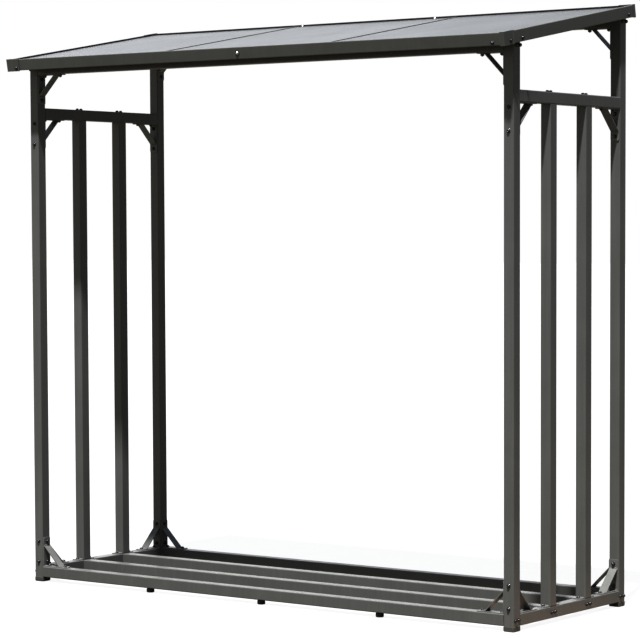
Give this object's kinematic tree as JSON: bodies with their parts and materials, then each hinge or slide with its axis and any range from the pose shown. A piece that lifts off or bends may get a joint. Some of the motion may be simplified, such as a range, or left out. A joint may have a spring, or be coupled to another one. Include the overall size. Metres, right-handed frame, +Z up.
{
  "type": "log store",
  "caption": "Open-fronted firewood store: bolted square-tube frame with slatted base, barred sides, corner brackets and a sloping sheet roof.",
  "frame": {"origin": "on the ground, under the centre of the overall box", "axes": "+X along the long side, +Y from the open front to the back, +Z up"},
  "size_m": [1.931, 0.7402, 1.8461],
  "materials": {
    "frame_tube": "satin anthracite powder coat",
    "bracket_steel": "satin anthracite powder coat on flat bar",
    "roof_frame": "satin anthracite powder coat on folded sheet",
    "roof_sheet": "semi-gloss grey coated sheet",
    "black_plastic": "moulded black plastic"
  },
  "bodies": {
    "root": {"post_front_left": "frame_tube", "post_front_right": "frame_tube", "post_back_left": "frame_tube", "post_back_right": "frame_tube", "foot_caps": "black_plastic", "front_rail": "frame_tube", "back_rail": "frame_tube", "side_rail_left": "frame_tube", "side_rail_right": "frame_tube", "slat_front": "frame_tube", "slat_back": "frame_tube", "adjustable_feet_front": "black_plastic", "adjustable_feet_back": "black_plastic", "flange_plates_left": "bracket_steel", "flange_plates_right": "bracket_steel", "bar_left_front": "frame_tube", "bar_left_back": "frame_tube", "bar_right_front": "frame_tube", "bar_right_back": "frame_tube", "mid_rail_left": "frame_tube", "mid_rail_right": "frame_tube", "header_front": "frame_tube", "header_back": "frame_tube", "brackets_base_front_left": "bracket_steel", "brackets_base_front_right": "bracket_steel", "brackets_base_back_left": "bracket_steel", "brackets_base_back_right": "bracket_steel", "brackets_mid_left": "bracket_steel", "brackets_mid_right": "bracket_steel", "brackets_header_front": "bracket_steel", "brackets_header_back": "bracket_steel", "roof_frame_front": "roof_frame", "roof_frame_back": "roof_frame", "roof_frame_left": "roof_frame", "roof_frame_right": "roof_frame", "rafter_left": "roof_frame", "rafter_right": "roof_frame", "seam_strip_left": "roof_frame", "seam_strip_right": "roof_frame", "roof_sheet_left": "roof_sheet", "roof_sheet_middle": "roof_sheet", "roof_sheet_right": "roof_sheet"}
  },
  "joints": []
}
